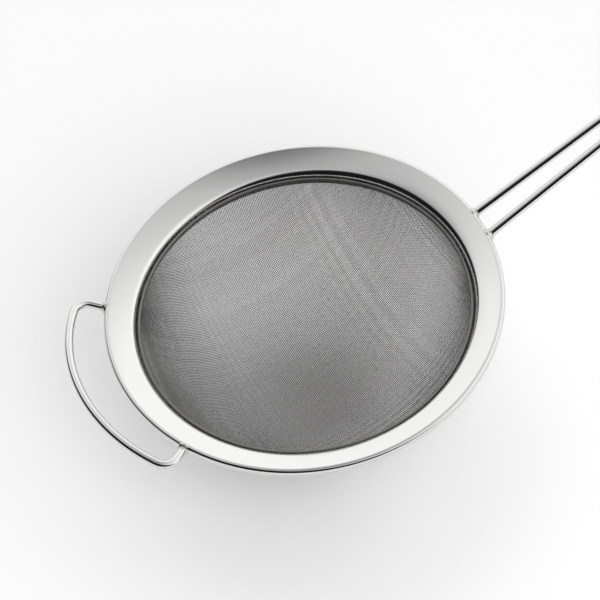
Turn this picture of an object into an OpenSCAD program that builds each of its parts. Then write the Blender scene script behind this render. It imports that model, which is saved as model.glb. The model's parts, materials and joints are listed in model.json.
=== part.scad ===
// Fine mesh tea strainer: a dished steel rim, a woven wire bowl, a two-wire handle and a rest bow.
// The bowl's axis is Z, the handle points along +X and the bow along -X.
// Z = 0 is the lower edge of the collar, the short ring wall that drops into a cup.

/* [Rim] */
// Inside diameter of the collar
collar_d = 80.4; // [60:0.2:160]
// Straight height of the collar below its bend
collar_h = 2.0; // [1.6:0.1:5]
// Width of the rim from the collar's inner wall to its outer edge
flange_w = 7.3; // [5.8:0.1:14]
// Slope of the dished flange from level
flange_slope = 24.5; // [15:0.5:45]
// Upper radius of the bend from flange to collar
bend_r = 2.2; // [1.5:0.1:3]
// Thickness of the rim's sheet
sheet_t = 0.6; // [0.4:0.05:0.75]
// Diameter of the curl along the outer edge
curl_d = 1.8; // [1.5:0.1:2.4]
// Straight height in the side of the curl
curl_flat = 0.45; // [0.2:0.05:1]

/* [Mesh bowl] */
// Depth of the bowl below the collar
bowl_depth = 34; // [20:1:41]
// Thickness of the woven cloth, two wires high
mesh_t = 0.3; // [0.2:0.02:0.6]

/* [Retaining ring] */
// Radial width of the ring
ring_w = 0.7; // [0.5:0.02:1.2]
// Height of the ring
ring_h = 1.0; // [0.8:0.05:1.5]
// Height of the ring's top above the collar's straight wall
ring_up = 0.65; // [0.3:0.05:0.8]
// Rounding of the ring's edges
ring_round = 0.3; // [0.1:0.05:0.5]

/* [Handle] */
// Diameter of the wire of the handle and the bow
wire_d = 2.1; // [1.6:0.1:2.8]
// Length of the handle along its slope, from the rim to its tip
handle_l = 125; // [95:1:180]
// Rise of the handle from level
handle_tilt = 23.7; // [0:0.1:40]
// Clear gap between the two wires at the rim
handle_open = 5.14; // [3:0.02:10]
// Clear gap between the two wires at the neck, where the loop starts
neck_open = 0.35; // [0.2:0.05:3]
// Radius of the hanging loop, to the wire's centre
loop_r = 7.5; // [6:0.25:12]
// Radius of the neck's bends, where the wires open into the loop
neck_r = 12; // [8:0.5:20]

/* [Rest bow] */
// Angle round the rim from the bow's middle to each leg
bow_leg_angle = 28.9; // [20:0.1:40]
// Length of each leg to its corner
bow_leg_l = 6.65; // [5:0.05:12]
// Outward splay of each leg
bow_splay = 38.6; // [20:0.1:50]
// Depth of the bow's curve between its corners
bow_sag = 10.15; // [7:0.05:14]
// Bend radius of the corners, to the wire's centre
bow_corner_r = 3.3; // [2.4:0.1:4.5]
// Rise of the bow from level
bow_tilt = 13; // [0:0.5:30]

/* [Welds] */
// Width of the weld fillet round a wire, on the rim
weld_w = 0.55; // [0.3:0.05:0.8]
// Length of the weld fillet along a wire
weld_l = 0.9; // [0.6:0.05:1.5]
// Thickness left at the outer end of a weld fillet
weld_tip = 0.12; // [0.08:0.02:0.2]

/* [Hidden] */
round_fn = 96;
$fn = round_fn;
// A cut along the rim's edge takes more sides, so that small welds seat on it closely.
edge_fn = 480;
// Longest step in degrees along a rounded corner of a turned section.
arc_step = 6;

collar_r = collar_d / 2;
rim_r = collar_r + flange_w;
curl_r = curl_d / 2;
wire_r = wire_d / 2;

// Section of the rim as [radius, height]: the centres of its bend and of its curl's upper arc.
bend_c = [collar_r + bend_r, collar_h];
curl_x = rim_r - curl_r;
curl_rise = (bend_r - curl_r + (curl_x - bend_c[0]) * sin(flange_slope)) / cos(flange_slope);
curl_c = [curl_x, collar_h + curl_rise];
// The curl turns under as far as this angle, short of the flange's underside.
curl_end = -130;

// Height of the middle of the curl's side, where the wires are welded on.
weld_z = curl_c[1] - curl_flat / 2;
// The wires start this far inside the rim's edge and are coped to the curl.
wire_sink = 0.6;
// Stretches of wire stop this far short of where they meet, and a knuckle joins them
// that stands joint_lap proud of the wire.
joint_gap = 0.05;
joint_lap = 0.01;
// The weld fillets start this far inside the rim's edge.
weld_sink = 0.35;

ring_out = collar_r - mesh_t;
ring_top = collar_h + ring_up;
ring_edge = min(ring_round, 0.45 * min(ring_w, ring_h));
bowl_r = (collar_r * collar_r + bowl_depth * bowl_depth) / (2 * bowl_depth);
// The cloth's edge stands behind the ring, this far below the ring's top.
cloth_edge = 0.35;

// Handle, in its own sloping plane: x runs from the rim's edge to the tip.
handle_y = (handle_open + wire_d) / 2;
handle_x0 = sqrt(rim_r * rim_r - handle_y * handle_y) - rim_r;
neck_y = (neck_open + wire_d) / 2;
loop_x = handle_l - loop_r - wire_r;
neck_dy = neck_r + neck_y;
neck_dx = sqrt(pow(neck_r + loop_r, 2) - neck_dy * neck_dy);
neck_c = [loop_x - neck_dx, neck_dy];
neck_turn = atan(neck_dx / neck_dy);
// The long run starts at the rim and is tangent to the neck's bend.
run_v = neck_c - [handle_x0, handle_y];
run_l = sqrt(run_v * run_v - neck_r * neck_r);
run_angle = atan2(run_v[1], run_v[0]) - asin(neck_r / norm(run_v));

// Bow, in its own sloping plane: x = 0 is the line through its two welds.
bow_x0 = rim_r * cos(bow_leg_angle);
bow_y0 = rim_r * sin(bow_leg_angle);
leg_dir = [cos(bow_splay), sin(bow_splay)];
leg_side = [sin(bow_splay), -cos(bow_splay)];
bow_corner = [0, bow_y0] + bow_leg_l * leg_dir;
bow_arc_r = (pow(bow_corner[1], 2) + bow_sag * bow_sag) / (2 * bow_sag);
bow_arc_c = [bow_corner[0] + bow_sag - bow_arc_r, 0];
// The centre of a corner's bend is bow_corner_r inside both the leg and the long curve.
corner_q = [0, bow_y0] + bow_corner_r * leg_side - bow_arc_c;
corner_b = corner_q * leg_dir;
leg_run = sqrt(corner_b * corner_b - corner_q * corner_q + pow(bow_arc_r - bow_corner_r, 2)) - corner_b;
corner_c = bow_arc_c + corner_q + leg_run * leg_dir;
bow_half = atan2(corner_c[1], corner_c[0] - bow_arc_c[0]);

// Points along an arc about c, in steps of at most arc_step.
function arc(c, r, a0, a1) = let (n = ceil(abs(a1 - a0) / arc_step))
    [for (i = [0:n]) c + r * [cos(a0 + (a1 - a0) * i / n), sin(a0 + (a1 - a0) * i / n)]];

// One face of the rim's sheet, at depth d below the polished side, from collar to curl.
function rim_face(d) = concat(
    [[collar_r + d, 0]],
    arc(bend_c, bend_r - d, 180, 90 + flange_slope),
    arc(curl_c, curl_r - d, 90 + flange_slope, 0),
    arc(curl_c - [0, curl_flat], curl_r - d, 0, curl_end));

// The rim's section: collar, bend, sloping flange and curled edge.
module rim_section() {
    inner = rim_face(sheet_t);
    polygon(concat(rim_face(0), [for (i = [len(inner) - 1:-1:0]) inner[i]]));
}

module rim() {
    color("gainsboro") rotate_extrude() rim_section();
}

// Round-edged ring pressed into the collar, which holds the cloth's edge against the wall.
module retaining_ring() {
    x0 = ring_out - ring_w + ring_edge;
    x1 = ring_out - ring_edge;
    z0 = ring_top - ring_h + ring_edge;
    z1 = ring_top - ring_edge;
    color("gray")
    rotate_extrude() polygon(concat(
        arc([x1, z1], ring_edge, 0, 90),
        arc([x0, z1], ring_edge, 90, 180),
        arc([x0, z0], ring_edge, 180, 270),
        arc([x1, z0], ring_edge, 270, 360)));
}

// Woven cloth drawn into a bowl, as a shell of the cloth's own thickness.
module mesh_bowl() {
    color("darkgray")
    rotate_extrude() {
        translate([ring_out, 0]) square([mesh_t, ring_top - cloth_edge]);
        intersection() {
            translate([0, bowl_r - bowl_depth]) difference() {
                circle(bowl_r);
                circle(bowl_r - mesh_t);
            }
            translate([0, -bowl_depth]) square([collar_r, bowl_depth]);
        }
    }
}

// A straight run of wire in the XY plane, from p along angle a.
module wire_run(p, a, l) {
    translate(p) rotate([0, 90, a]) cylinder(r = wire_r, h = l - joint_gap);
}

// A bend of wire in the XY plane about c, from angle a0 to a1.
module wire_bend(c, r, a0, a1) {
    trim = asin(joint_gap / r);
    translate(c) rotate([0, 0, a0 + trim]) rotate_extrude(angle = a1 - a0 - 2 * trim)
        translate([r, 0]) circle(wire_r);
}

// Joins two stretches of wire that meet at p.
module knuckle(p) {
    translate(p) sphere(wire_r + joint_lap);
}

// Its children once as they are, and once on the other side of the X axis.
module both_sides() {
    children();
    mirror([0, 1, 0]) children();
}

module in_handle_plane() {
    translate([rim_r, 0, weld_z]) rotate([0, -handle_tilt, 0]) children();
}

module in_bow_plane() {
    rotate([0, 0, 180]) translate([bow_x0, 0, weld_z]) rotate([0, -bow_tilt, 0]) children();
}

// Its children cut to the outside of the rim's curl.
module coped_to_rim() {
    difference() {
        children();
        rotate_extrude($fn = edge_fn) {
            translate(curl_c) circle(curl_r, $fn = round_fn);
            translate(curl_c - [0, curl_flat]) circle(curl_r, $fn = round_fn);
            translate(curl_c - [curl_r, curl_flat]) square([curl_d, curl_flat]);
        }
    }
}

// One length of wire: long runs that close up to a neck and open into a hanging loop.
module handle_wire() {
    start = [handle_x0, handle_y] - wire_sink * [cos(run_angle), sin(run_angle)];
    color("silver")
    coped_to_rim() in_handle_plane() {
        both_sides() {
            wire_run(start, run_angle, run_l + wire_sink);
            knuckle(start + (run_l + wire_sink) * [cos(run_angle), sin(run_angle)]);
            wire_bend(neck_c, neck_r, run_angle - 90, neck_turn - 90);
            knuckle(neck_c + neck_r * [sin(neck_turn), -cos(neck_turn)]);
        }
        wire_bend([loop_x, 0], loop_r, -neck_turn - 90, neck_turn + 90);
    }
}

// One length of wire: two short legs, two tight corners and a long curve between them.
module rest_bow() {
    color("silver")
    coped_to_rim() in_bow_plane() {
        both_sides() {
            wire_run([0, bow_y0] - wire_sink * leg_dir, bow_splay, leg_run + wire_sink);
            knuckle([0, bow_y0] + leg_run * leg_dir);
            wire_bend(corner_c, bow_corner_r, bow_half, 90 + bow_splay);
            knuckle(bow_arc_c + bow_arc_r * [cos(bow_half), sin(bow_half)]);
        }
        wire_bend(bow_arc_c, bow_arc_r, -bow_half, bow_half);
    }
}

// A weld fillet round a wire that leaves p along angle a.
module weld_fillet(p, a) {
    translate(p - weld_sink * [cos(a), sin(a)]) rotate([0, 90, a])
        rotate_extrude() polygon([
            [wire_r, 0],
            [wire_r + weld_w, 0],
            [wire_r + weld_tip, weld_sink + weld_l],
            [wire_r, weld_sink + weld_l]]);
}

module handle_weld(side) {
    color("silver")
    coped_to_rim() in_handle_plane()
        weld_fillet([handle_x0, side * handle_y], side * run_angle);
}

module bow_weld(side) {
    color("silver")
    coped_to_rim() in_bow_plane()
        weld_fillet([0, side * bow_y0], side * bow_splay);
}

module handle_weld_left() { handle_weld(1); }
module handle_weld_right() { handle_weld(-1); }
module bow_weld_left() { bow_weld(-1); }
module bow_weld_right() { bow_weld(1); }

rim();
retaining_ring();
mesh_bowl();
handle_wire();
rest_bow();
handle_weld_left();
handle_weld_right();
bow_weld_left();
bow_weld_right();
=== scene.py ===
"""Fine mesh tea strainer: rim, retaining ring, woven bowl, handle, rest bow and welds."""
import json
import math

import bpy
from mathutils import Matrix, Vector


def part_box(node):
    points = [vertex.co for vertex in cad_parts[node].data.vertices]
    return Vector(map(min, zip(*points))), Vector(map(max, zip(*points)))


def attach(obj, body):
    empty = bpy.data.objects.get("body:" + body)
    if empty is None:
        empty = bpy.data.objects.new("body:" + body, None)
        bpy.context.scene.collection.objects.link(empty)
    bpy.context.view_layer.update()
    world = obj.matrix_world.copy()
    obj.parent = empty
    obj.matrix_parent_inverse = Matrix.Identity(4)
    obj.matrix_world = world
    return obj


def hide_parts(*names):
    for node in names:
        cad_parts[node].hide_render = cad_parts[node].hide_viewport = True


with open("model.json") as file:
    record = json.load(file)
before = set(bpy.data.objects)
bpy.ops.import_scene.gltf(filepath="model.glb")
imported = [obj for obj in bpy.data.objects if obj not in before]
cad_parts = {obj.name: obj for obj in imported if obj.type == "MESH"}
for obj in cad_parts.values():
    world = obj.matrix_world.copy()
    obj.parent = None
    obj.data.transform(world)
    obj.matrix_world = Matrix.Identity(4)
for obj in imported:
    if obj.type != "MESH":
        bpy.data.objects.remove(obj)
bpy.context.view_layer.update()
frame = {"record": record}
bpy.ops.object.select_all(action="DESELECT")
MM = 0.001

# ---------------------------------------------------------------------------------------------
# Rim: one ring of stainless sheet, pressed and curled. A short upright collar turns through a
# round bend into a dished flange, and the flange's outer edge is curled under into a bead.
# The inside and the top are mirror polished.
sheet_t = 0.6 * MM
bend_r = 2.2 * MM
curl_r = 0.9 * MM
curl_flat = 0.45 * MM
# The curl turns under as far as this angle, in degrees from straight outwards.
curl_end = -130
# The flange is a little crowned: steeper beside the bend than beside the curl, in degrees.
slope_in = 27.5
slope_out = 21.5
slope_mid = math.radians((slope_in + slope_out) / 2)
# The ring's sides, and the steps of each part of the sheet's section.
ring_sides = 480
bend_steps = 20
flange_steps = 10
curl_steps = 16
under_steps = 18
# Edges sharper than this stay crisp, and points closer than this are merged.
crease = math.radians(50)
merge_gap = 0.005 * MM

rim_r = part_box("rim")[1].x
collar = next(m for m in frame["record"]["mounts"] if m["name"] == "collar")
collar_r = collar["dims"]["r_mm"] * MM - sheet_t
collar_h = collar["dims"]["length_mm"] * MM
bend_c = (collar_r + bend_r, collar_h)
curl_x = rim_r - curl_r
curl_rise = (bend_r - curl_r + (curl_x - bend_c[0]) * math.sin(slope_mid)) / math.cos(slope_mid)
curl_c = (curl_x, collar_h + curl_rise)
# The wires of the handle and the bow are welded on at this height.
weld_z = curl_c[1] - curl_flat / 2


def arc(centre, radius, start, end, steps):
    """Points of an arc in a section, from one angle to another in degrees."""
    angles = [math.radians(start + (end - start) * i / steps) for i in range(steps + 1)]
    return [(centre[0] + radius * math.cos(a), centre[1] + radius * math.sin(a)) for a in angles]


def crown(a, b, slope_a, slope_b, steps):
    """Points between a and b on a curve that leaves a at slope_a and meets b at slope_b."""
    ta, tb = math.tan(math.radians(slope_a)), math.tan(math.radians(slope_b))
    x = (b[1] - a[1] + ta * a[0] - tb * b[0]) / (ta - tb)
    corner = (x, a[1] + ta * (x - a[0]))
    points = []
    for i in range(1, steps):
        t = i / steps
        weights = ((1 - t) ** 2, 2 * t * (1 - t), t * t)
        points.append(tuple(sum(w * p[k] for w, p in zip(weights, (a, corner, b))) for k in (0, 1)))
    return points


def sheet_face(depth):
    """One face of the sheet's section, at a depth below the polished side, from collar to curl."""
    bend = arc(bend_c, bend_r - depth, 180, 90 + slope_in, bend_steps)
    curl = arc(curl_c, curl_r - depth, 90 + slope_out, 0, curl_steps)
    under = arc((curl_c[0], curl_c[1] - curl_flat), curl_r - depth, 0, curl_end, under_steps)
    flange = crown(bend[-1], curl[0], slope_in, slope_out, flange_steps)
    return [(collar_r + depth, 0)] + bend + flange + curl + under


def turned_ring(name, section, sides):
    """Turns a closed outline of (radius, height) points about the bowl's axis, ring by ring."""
    bpy.ops.mesh.primitive_circle_add(vertices=sides, radius=section[0][0], location=(0, 0, section[0][1]))
    ring = bpy.context.object
    ring.name = ring.data.name = name
    bpy.ops.object.transform_apply(location=True)
    bpy.ops.object.mode_set(mode="EDIT")
    bpy.ops.mesh.select_all(action="SELECT")
    for (r0, z0), (r1, z1) in zip(section, section[1:] + section[:1]):
        bpy.ops.mesh.extrude_region_move(TRANSFORM_OT_translate={"value": (0, 0, z1 - z0)})
        bpy.ops.transform.resize(value=(r1 / r0, r1 / r0, 1), center_override=(0, 0, z1))
    bpy.ops.mesh.select_all(action="SELECT")
    bpy.ops.mesh.remove_doubles(threshold=merge_gap)
    bpy.ops.mesh.normals_make_consistent(inside=False)
    bpy.ops.object.mode_set(mode="OBJECT")
    bpy.ops.object.shade_smooth_by_angle(angle=crease)
    return ring


def srgb(hex_colour):
    """The linear colour of an sRGB hex value."""
    channels = [int(hex_colour[i:i + 2], 16) / 255 for i in (0, 2, 4)]
    return [c / 12.92 if c <= 0.04045 else ((c + 0.055) / 1.055) ** 2.4 for c in channels] + [1]


def add_node(tree, kind, values=None, links=None, **settings):
    """Adds a node with its settings, its sockets' values and the sources linked to its sockets."""
    node = tree.nodes.new(kind)
    for name, value in settings.items():
        setattr(node, name, value)
    for socket, value in (values or {}).items():
        node.inputs[socket].default_value = value
    for socket, source in (links or {}).items():
        tree.links.new(source, node.inputs[socket])
    return node


def new_material(name, **surface):
    """A material whose Principled shader has the given values, and its node tree and shader."""
    material = bpy.data.materials.new(name)
    material.use_nodes = True
    shader = material.node_tree.nodes["Principled BSDF"]
    for socket, value in surface.items():
        shader.inputs[socket.replace("_", " ")].default_value = value
    return material, material.node_tree, shader


def mirror_polished_sheet():
    """18/8 stainless sheet, pressed and then polished on a wheel: a bright mirror with faint rings
    from the polishing mop, and a slight waviness from the press that makes reflections waver."""
    material, tree, shader = new_material("mirror_polished_sheet", Base_Color=srgb("D6D6D5"), Metallic=1)
    place = add_node(tree, "ShaderNodeTexCoord").outputs["Object"]
    flat = add_node(tree, "ShaderNodeVectorMath", {1: (1, 1, 0)}, {0: place}, operation="MULTIPLY")
    radius = add_node(tree, "ShaderNodeVectorMath", links={0: flat.outputs[0]}, operation="LENGTH")
    # Mop lines about 0.25 mm apart.
    lines = add_node(tree, "ShaderNodeTexNoise", {"Scale": 1 / (0.25 * MM), "Detail": 2},
                     {"W": radius.outputs["Value"]}, noise_dimensions="1D")
    cloudy = add_node(tree, "ShaderNodeTexNoise", {"Scale": 1 / (9 * MM), "Detail": 3}, {"Vector": place})
    both = add_node(tree, "ShaderNodeMath", links={0: lines.outputs[0], 1: cloudy.outputs[0]},
                    operation="MULTIPLY")
    rough = add_node(tree, "ShaderNodeMapRange", {"From Min": 0.1, "From Max": 0.45, "To Min": 0.07,
                                                   "To Max": 0.13}, {"Value": both.outputs[0]})
    tree.links.new(rough.outputs[0], shader.inputs["Roughness"])
    # Press waves about 18 mm long and a hundredth of a millimetre high.
    waves = add_node(tree, "ShaderNodeTexNoise", {"Scale": 1 / (18 * MM), "Detail": 1}, {"Vector": place})
    dents = add_node(tree, "ShaderNodeBump", {"Strength": 1, "Distance": 0.02 * MM},
                     {"Height": waves.outputs[0]})
    fine = add_node(tree, "ShaderNodeBump", {"Strength": 1, "Distance": 0.0001 * MM},
                    {"Height": lines.outputs[0], "Normal": dents.outputs[0]})
    tree.links.new(fine.outputs[0], shader.inputs["Normal"])
    return material


rim = turned_ring("rim_sheet", sheet_face(0) + sheet_face(sheet_t)[::-1], ring_sides)
rim.data.materials.append(mirror_polished_sheet())
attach(rim, "root")
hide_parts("rim")

# ---------------------------------------------------------------------------------------------
# Retaining ring: a round-edged hoop of stainless strip, sprung into the collar so that it holds
# the cloth's edge against the wall. It is plain mill-finish steel, duller than the rim.
ring_low, ring_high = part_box("retaining_ring")
ring_w = 0.7 * MM
ring_round = 0.3 * MM
round_steps = 6
ring_x = (ring_high.x - ring_w + ring_round, ring_high.x - ring_round)
ring_z = (ring_low.z + ring_round, ring_high.z - ring_round)
ring_section = [
    point
    for centre, start in zip(
        ((ring_x[1], ring_z[1]), (ring_x[0], ring_z[1]), (ring_x[0], ring_z[0]), (ring_x[1], ring_z[0])),
        (0, 90, 180, 270))
    for point in arc(centre, ring_round, start, start + 90, round_steps)]


def mill_finish_strip():
    """18/8 stainless strip as it comes from the mill: grey, softly reflecting, with fine drawing
    lines that run along the hoop."""
    material, tree, shader = new_material("mill_finish_strip", Base_Color=srgb("7A7A78"), Metallic=1)
    place = add_node(tree, "ShaderNodeTexCoord").outputs["Object"]
    # Drawing lines 0.08 mm apart across the strip; along it they fade over several millimetres.
    across = add_node(tree, "ShaderNodeMapping", {"Scale": (0.02, 0.02, 1)}, {"Vector": place})
    lines = add_node(tree, "ShaderNodeTexNoise", {"Scale": 1 / (0.08 * MM), "Detail": 2},
                     {"Vector": across.outputs[0]})
    rough = add_node(tree, "ShaderNodeMapRange", {"To Min": 0.3, "To Max": 0.5}, {"Value": lines.outputs[0]})
    tree.links.new(rough.outputs[0], shader.inputs["Roughness"])
    scratch = add_node(tree, "ShaderNodeBump", {"Strength": 0.6, "Distance": 0.004 * MM},
                       {"Height": lines.outputs[0]})
    tree.links.new(scratch.outputs[0], shader.inputs["Normal"])
    return material


ring = turned_ring("cloth_hoop", ring_section, ring_sides)
ring.data.materials.append(mill_finish_strip())
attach(ring, "root")
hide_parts("retaining_ring")

# ---------------------------------------------------------------------------------------------
# Woven bowl: plain-woven stainless wire cloth, pressed flat-to-round over a former. Every mesh
# keeps its side length and only shears, so the knots form an equal-sided net on the ball. The
# wires stand upright in the collar and end behind the hoop. Each wire is modelled, over and under.
thread_r = 0.08 * MM
pitch = 0.43 * MM
cloth_t = 0.3 * MM
# The cloth's wires lie this many degrees off the handle's line.
cloth_turn = math.radians(6)
# Each way of the cloth is made in this many pieces, side by side.
strips = 3

cloth_low, cloth_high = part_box("mesh_bowl")
depth = -cloth_low.z
ball_outer = (collar_r ** 2 + depth ** 2) / (2 * depth)
ball_z = ball_outer - depth
ball_r = ball_outer - cloth_t / 2
wall_r = math.sqrt(ball_r ** 2 - ball_z ** 2)


def quarter_net(step):
    """Knots of a quarter of the net as unit vectors, {(i, j): direction}, up to the cloth's edge."""
    top = (cloth_high.z - ball_z) / ball_r
    knots = {}
    count = 0
    while -math.cos(count * step) < top:
        knots[count, 0] = Vector((math.sin(count * step), 0, -math.cos(count * step)))
        knots[0, count] = Vector((0, math.sin(count * step), -math.cos(count * step)))
        count += 1
    for i in range(1, count):
        j = 1
        while (i - 1, j) in knots and (i, j - 1) in knots:
            mirror = knots[i - 1, j].cross(knots[i, j - 1]).normalized()
            corner = knots[i - 1, j - 1]
            knot = corner - 2 * corner.dot(mirror) * mirror
            if knot.z >= top:
                break
            knots[i, j] = knot
            j += 1
    return knots


def cloth_point(knot, offset):
    """A knot's place in the bowl, raised by an offset towards the outside. Above the ball's
    lower part the cloth stands straight up along the collar."""
    place = knot * ball_r + Vector((0, 0, ball_z))
    outward = knot.copy()
    if place.z > 0:
        outward = Vector((knot.x, knot.y, 0)).normalized()
        place = outward * wall_r + Vector((0, 0, place.z))
    return Matrix.Rotation(cloth_turn, 3, "Z") @ (place + outward * offset)


def cloth_wires(knots, lengthwise):
    """The wires that run one way, as lists of points that pass over and under in turn."""
    last = max(i for i, j in knots)
    wires = []
    for line in range(-last, last + 1):
        reach = max((j for j in range(last + 1) if (abs(line), j) in knots), default=0)
        points = []
        for step in range(-reach, reach + 1):
            knot = knots[abs(line), abs(step)]
            x, y = math.copysign(knot.x, line), math.copysign(knot.y, step)
            side = 1 if (line + step) % 2 else -1
            if lengthwise:
                x, y, side = y, x, -side
            points.append(cloth_point(Vector((x, y, knot.z)), side * thread_r))
        if len(points) > 1:
            wires.append(points)
    return wires


def woven_steel_wire():
    """Drawn 0.16 mm stainless wire: grey and softly bright, with streaks where the dies marked it
    and slightly darker patches where the cloth was stretched over the former."""
    material, tree, shader = new_material("woven_steel_wire", Metallic=1)
    place = add_node(tree, "ShaderNodeTexCoord").outputs["Object"]
    streaks = add_node(tree, "ShaderNodeTexNoise", {"Scale": 1 / (0.3 * MM), "Detail": 2}, {"Vector": place})
    rough = add_node(tree, "ShaderNodeMapRange", {"To Min": 0.14, "To Max": 0.3},
                     {"Value": streaks.outputs[0]})
    tree.links.new(rough.outputs[0], shader.inputs["Roughness"])
    patches = add_node(tree, "ShaderNodeTexNoise", {"Scale": 1 / (14 * MM), "Detail": 3}, {"Vector": place})
    tone = add_node(tree, "ShaderNodeMix", {6: srgb("959593"), 7: srgb("ABABA9")},
                    {0: patches.outputs[0]}, data_type="RGBA")
    tree.links.new(tone.outputs[2], shader.inputs["Base Color"])
    return material


net = quarter_net(2 * math.asin(pitch / (2 * ball_r)))
thread_steel = woven_steel_wire()
cloth = []
for way, lengthwise in (("warp", True), ("weft", False)):
    wires = cloth_wires(net, lengthwise)
    for strip in range(strips):
        curve = bpy.data.curves.new(f"cloth_{way}_{strip + 1}", "CURVE")
        curve.dimensions = "3D"
        curve.bevel_depth = thread_r
        curve.bevel_resolution = 0
        curve.use_fill_caps = True
        for points in wires[len(wires) * strip // strips:len(wires) * (strip + 1) // strips]:
            spline = curve.splines.new("POLY")
            spline.points.add(len(points) - 1)
            spline.points.foreach_set("co", [c for p in points for c in (*p, 1)])
        piece = bpy.data.objects.new(curve.name, curve)
        bpy.context.collection.objects.link(piece)
        piece.select_set(True)
        bpy.context.view_layer.objects.active = piece
        bpy.ops.object.convert(target="MESH")
        bpy.ops.object.shade_smooth()
        piece.select_set(False)
        piece.data.materials.append(thread_steel)
        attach(piece, "root")
        cloth.append(piece)
for piece in cloth:
    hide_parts("mesh_bowl")

# ---------------------------------------------------------------------------------------------
# Handle: one length of drawn stainless wire, electropolished. Two long runs leave the rim side by
# side, close up to a neck and open into a round hanging loop. It is bent flat and welded on rising.
wire_r = 1.05 * MM
handle_l = 125 * MM
handle_tilt = math.radians(23.7)
handle_open = 5.14 * MM
neck_open = 0.35 * MM
loop_r = 7.5 * MM
neck_r = 12 * MM
# The wires run on this far into the curl, where the weld hides their ends.
sink = 0.35 * MM
wire_sides = 32
# A bend takes one step for each 25 degrees at a radius of 1 mm, and at least this many.
bend_step = 25 * MM
least_steps = 6

handle_y = handle_open / 2 + wire_r
handle_x0 = math.sqrt(rim_r ** 2 - handle_y ** 2) - rim_r
neck_dy = neck_r + neck_open / 2 + wire_r
neck_turn = math.acos(neck_dy / (neck_r + loop_r))
neck_c = (handle_l - loop_r - wire_r - (neck_r + loop_r) * math.sin(neck_turn), neck_dy)
run_v = Vector((neck_c[0] - handle_x0, neck_c[1] - handle_y))
run_l = math.sqrt(run_v.length_squared - neck_r ** 2)
run_angle = math.atan2(run_v.y, run_v.x) - math.asin(neck_r / run_v.length)


def bent_wire(name, start, heading, moves, tilt, root):
    """Bends a wire flat, as on a bench: each move is a straight run (length) or a bend (radius,
    angle, positive to the left). Then it tilts the wire up and sets it with its origin at root."""
    place = Vector((*start, 0))
    bpy.ops.mesh.primitive_circle_add(vertices=wire_sides, radius=wire_r, location=place,
                                      rotation=(0, math.pi / 2, heading))
    wire = bpy.context.object
    wire.name = wire.data.name = name
    bpy.ops.object.transform_apply(location=True, rotation=True)
    bpy.ops.object.mode_set(mode="EDIT")
    bpy.ops.mesh.select_all(action="SELECT")
    for move in moves:
        ahead = Vector((math.cos(heading), math.sin(heading), 0))
        if len(move) == 1:
            bpy.ops.mesh.extrude_region_move(TRANSFORM_OT_translate={"value": ahead * move[0]})
            place += ahead * move[0]
            continue
        radius, turn = move
        centre = place + Vector((-ahead.y, ahead.x, 0)) * math.copysign(radius, turn)
        steps = max(least_steps, math.ceil(abs(math.degrees(turn)) * radius / bend_step))
        bpy.ops.mesh.spin(steps=steps, angle=-turn, center=centre, axis=(0, 0, 1))
        place = centre + Matrix.Rotation(turn, 3, "Z") @ (place - centre)
        heading += turn
    bpy.ops.mesh.select_all(action="SELECT")
    bpy.ops.mesh.remove_doubles(threshold=merge_gap)
    bpy.ops.mesh.fill_holes(sides=0)
    bpy.ops.mesh.normals_make_consistent(inside=False)
    bpy.ops.object.mode_set(mode="OBJECT")
    bpy.ops.object.shade_smooth_by_angle(angle=crease)
    wire.matrix_world = root @ Matrix.Rotation(-tilt, 4, "Y")
    bpy.ops.object.transform_apply(location=True, rotation=True)
    return wire


def electropolished_wire():
    """Drawn 18/8 stainless wire, electropolished: a clear mirror that wavers where the wire was
    drawn and bent, with hair-fine handling marks."""
    material, tree, shader = new_material("electropolished_wire", Base_Color=srgb("D6D6D5"), Metallic=1)
    place = add_node(tree, "ShaderNodeTexCoord").outputs["Object"]
    marks = add_node(tree, "ShaderNodeTexNoise", {"Scale": 1 / (0.7 * MM), "Detail": 4}, {"Vector": place})
    rough = add_node(tree, "ShaderNodeMapRange", {"From Min": 0.3, "From Max": 0.7, "To Min": 0.05,
                                                   "To Max": 0.13}, {"Value": marks.outputs[0]})
    tree.links.new(rough.outputs[0], shader.inputs["Roughness"])
    waver = add_node(tree, "ShaderNodeTexNoise", {"Scale": 1 / (4 * MM), "Detail": 1}, {"Vector": place})
    bump = add_node(tree, "ShaderNodeBump", {"Strength": 1, "Distance": 0.006 * MM},
                    {"Height": waver.outputs[0]})
    tree.links.new(bump.outputs[0], shader.inputs["Normal"])
    return material


wire_steel = electropolished_wire()
handle_root = Matrix.Translation((rim_r, 0, weld_z))
neck_bend = (neck_r, neck_turn - run_angle)
handle = bent_wire(
    "handle_bent_wire",
    (handle_x0 - sink * math.cos(run_angle), handle_y - sink * math.sin(run_angle)), run_angle,
    [(run_l + sink,), neck_bend, (loop_r, -math.pi - 2 * neck_turn), neck_bend, (run_l + sink,)],
    handle_tilt, handle_root)
handle.data.materials.append(wire_steel)
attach(handle, "root")
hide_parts("handle_wire")

# ---------------------------------------------------------------------------------------------
# Rest bow: a second length of the same wire, bent flat into two short splayed legs, two tight
# corners and one long curve, and welded to the rim opposite the handle. It rests on a cup's far lip.
leg_angle = math.radians(28.9)
leg_l = 6.65 * MM
splay = math.radians(38.6)
sag = 10.15 * MM
corner_r = 3.3 * MM
bow_tilt = math.radians(13)

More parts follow.
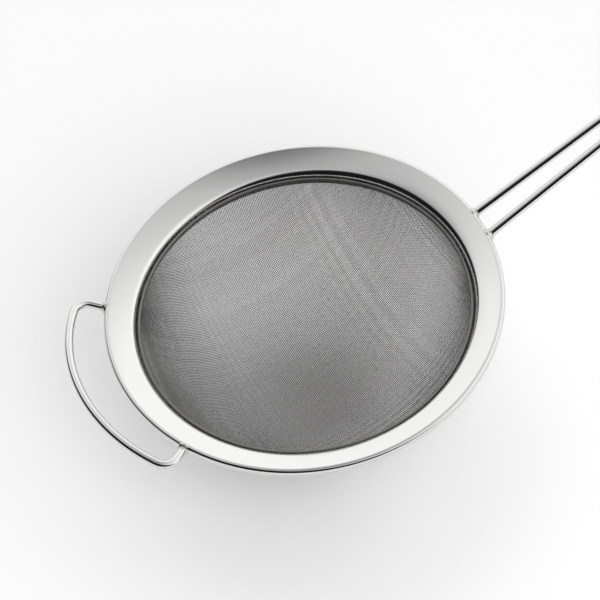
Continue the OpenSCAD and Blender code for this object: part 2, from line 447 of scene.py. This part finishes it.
bow_y0 = rim_r * math.sin(leg_angle)
leg_dir = Vector((math.cos(splay), math.sin(splay)))
leg_side = Vector((math.sin(splay), -math.cos(splay)))
corner = Vector((0, bow_y0)) + leg_l * leg_dir
bow_arc_r = (corner.y ** 2 + sag ** 2) / (2 * sag)
bow_arc_c = Vector((corner.x + sag - bow_arc_r, 0))
offset = Vector((0, bow_y0)) + corner_r * leg_side - bow_arc_c
along = offset.dot(leg_dir)
leg_run = math.sqrt(along ** 2 - offset.length_squared + (bow_arc_r - corner_r) ** 2) - along
corner_c = bow_arc_c + offset + leg_run * leg_dir
bow_half = math.atan2(corner_c.y, corner_c.x - bow_arc_c.x)

bow_root = Matrix.Rotation(math.pi, 4, "Z") @ Matrix.Translation((rim_r * math.cos(leg_angle), 0, weld_z))
corner_bend = (corner_r, bow_half - math.pi / 2 - splay)
bow = bent_wire(
    "bow_bent_wire",
    Vector((0, bow_y0)) - sink * leg_dir, splay,
    [(leg_run + sink,), corner_bend, (bow_arc_r, -2 * bow_half), corner_bend, (leg_run + sink,)],
    bow_tilt, bow_root)
bow.data.materials.append(wire_steel)
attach(bow, "root")
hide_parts("rest_bow")

# ---------------------------------------------------------------------------------------------
# Welds: where each wire end is resistance-welded to the curl, the metal has flowed out into a
# small flare. It was polished with the wire, so it is nearly as bright, but uneven.
flare_w = 0.55 * MM
flare_l = 0.9 * MM
flare_tip = 0.03 * MM
flare_sides = 48
# The flare's bore is a little under the wire's, so that the two are fused.
flare_bore = 0.9 * wire_r


def polished_weld():
    """Weld metal, polished over: bright steel with shallow dimples that break up the reflection."""
    material, tree, shader = new_material("polished_weld", Base_Color=srgb("CACAC8"), Metallic=1)
    place = add_node(tree, "ShaderNodeTexCoord").outputs["Object"]
    dimples = add_node(tree, "ShaderNodeTexNoise", {"Scale": 1 / (0.5 * MM), "Detail": 3}, {"Vector": place})
    rough = add_node(tree, "ShaderNodeMapRange", {"To Min": 0.12, "To Max": 0.35},
                     {"Value": dimples.outputs[0]})
    tree.links.new(rough.outputs[0], shader.inputs["Roughness"])
    bump = add_node(tree, "ShaderNodeBump", {"Strength": 1, "Distance": 0.03 * MM},
                    {"Height": dimples.outputs[0]})
    tree.links.new(bump.outputs[0], shader.inputs["Normal"])
    return material


def weld_flare(name, start, heading, tilt, root):
    """A flare round a wire that leaves start along heading, in the wire's own tilted plane. Its
    side sweeps in from the rim like the foot of a tree."""
    outline = [(flare_bore, -sink), (wire_r + flare_w, -sink), (wire_r + flare_w, 0)]
    outline += [(wire_r + flare_tip + (flare_w - flare_tip) * (1 - t) ** 2, flare_l * t)
                for t in (0.12, 0.25, 0.4, 0.55, 0.7, 0.85, 1)]
    outline += [(flare_bore, flare_l)]
    flare = turned_ring(name, outline, flare_sides)
    lay_over = Matrix.Rotation(heading, 4, "Z") @ Matrix.Rotation(math.pi / 2, 4, "Y")
    flare.matrix_world = root @ Matrix.Rotation(-tilt, 4, "Y") @ Matrix.Translation((*start, 0)) @ lay_over
    bpy.ops.object.transform_apply(location=True, rotation=True)
    return flare


weld_steel = polished_weld()
for node, start, heading, tilt, root in (
        ("handle_weld_left", (handle_x0, handle_y), run_angle, handle_tilt, handle_root),
        ("handle_weld_right", (handle_x0, -handle_y), -run_angle, handle_tilt, handle_root),
        ("bow_weld_left", (0, -bow_y0), -splay, bow_tilt, bow_root),
        ("bow_weld_right", (0, bow_y0), splay, bow_tilt, bow_root)):
    flare = weld_flare(node + "_flare", start, heading, tilt, root)
    flare.data.materials.append(weld_steel)
    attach(flare, "root")
    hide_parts(node)

# ---------------------------------------------------------------------------------------------
# Studio: a plain pale floor just under the bowl, a light tent that is bright on the right and
# behind, greyer overhead and dark on the left and beside the camera, and two soft lights.
floor_r = 20
floor_sides = 96
floor_gap = 0.2 * MM
bpy.ops.mesh.primitive_circle_add(vertices=floor_sides, radius=floor_r, fill_type="NGON",
                                  location=(0, 0, cloth_low.z - floor_gap))
floor = bpy.context.object
floor.name = "floor"
bpy.ops.object.transform_apply(location=True)
floor_paint, tree, shader = new_material("pale_floor", Base_Color=srgb("F8F8F8"), Roughness=0.9)
shader.inputs["Specular IOR Level"].default_value = 0.1
floor.data.materials.append(floor_paint)

# The camera looks down at the middle of the rim, with the handle turned away from its right.
view_elevation = math.radians(53.7)
view_turn = math.radians(17.0)
view_roll = math.radians(10.5)
view_distance = 0.7059
target = Vector((0, 0, curl_c[1]))
right = Vector((math.cos(view_turn), -math.sin(view_turn), 0))
away = Vector((math.sin(view_turn), math.cos(view_turn), 0))
back = -away * math.cos(view_elevation) + Vector((0, 0, math.sin(view_elevation)))
up = back.cross(right)
camera_x = math.cos(view_roll) * right - math.sin(view_roll) * up
camera_y = math.sin(view_roll) * right + math.cos(view_roll) * up
camera = bpy.data.objects.new("camera", bpy.data.cameras.new("camera"))
bpy.context.collection.objects.link(camera)
camera.matrix_world = Matrix.Translation(target + back * view_distance) @ Matrix(
    (camera_x, camera_y, back)).transposed().to_4x4()
camera.data.sensor_width = 36
camera.data.lens = 180
camera.data.shift_x = -0.0058
camera.data.shift_y = 0.0065
camera.data.clip_start = 0.01
camera.data.clip_end = 50
bpy.context.scene.camera = camera


def studio_direction(azimuth, elevation):
    """A unit vector by its bearing, anticlockwise from the camera's right, and its height."""
    a, e = math.radians(azimuth), math.radians(elevation)
    return (right * math.cos(a) + away * math.sin(a)) * math.cos(e) + Vector((0, 0, math.sin(e)))


def ramp(tree, source, stops):
    """A colour ramp over a value, with its stops as {position: grey level}."""
    node = add_node(tree, "ShaderNodeValToRGB", links={0: source})
    points = node.color_ramp.elements
    while len(points) < len(stops):
        points.new(0.5)
    for point, (position, level) in zip(points, sorted(stops.items())):
        point.position = position
        point.color = (level, level, level, 1)
    return node.outputs[0]


tent_strength = 1.36
world = bpy.data.worlds.new("light_tent")
bpy.context.scene.world = world
world.use_nodes = True
tree = world.node_tree
towards = add_node(tree, "ShaderNodeTexCoord").outputs["Generated"]
height = add_node(tree, "ShaderNodeSeparateXYZ", links={0: towards})
# The tent's brightness by the sine of the height: white walls, a greyer roof.
tent = ramp(tree, height.outputs["Z"], {0.5: 1, 0.64: 0.88, 0.76: 0.75, 0.88: 0.62, 0.94: 0.54,
                                        0.975: 0.4, 1: 0.19})
# How open the tent is, by the cosine of the angle from the middle of its lit side.
lit_side = studio_direction(42, 40)
facing = add_node(tree, "ShaderNodeVectorMath", {1: lit_side}, {0: towards}, operation="DOT_PRODUCT")
opening = ramp(tree, facing.outputs["Value"], {0: 0.01, 0.1: 0.06, 0.2: 0.42, 0.28: 0.82, 0.4: 0.93,
                                               0.7: 1})
both = add_node(tree, "ShaderNodeMix", {0: 1}, {6: tent, 7: opening}, data_type="RGBA",
                blend_type="MULTIPLY")
tree.links.new(both.outputs[2], tree.nodes["Background"].inputs["Color"])
tree.nodes["Background"].inputs["Strength"].default_value = tent_strength

# Two wide round soft lights aimed at the bowl, a weak one behind and a stronger one in front.
lamp_d = 0.8
lamp_distance = 0.9
for name, azimuth, elevation, watts in (("back_light", 95, 55, 1), ("front_light", -75, 40, 5)):
    light = bpy.data.lights.new(name, "AREA")
    light.shape = "DISK"
    light.size = lamp_d
    light.energy = watts
    lamp = bpy.data.objects.new(name, light)
    bpy.context.collection.objects.link(lamp)
    towards_lamp = studio_direction(azimuth, elevation)
    lamp.location = towards_lamp * lamp_distance
    lamp.rotation_mode = "QUATERNION"
    lamp.rotation_quaternion = towards_lamp.to_track_quat("Z", "Y")
    lamp.visible_glossy = False
# With the standard view the white floor and the brightest reflections stay white.
bpy.context.scene.view_settings.view_transform = "Standard"
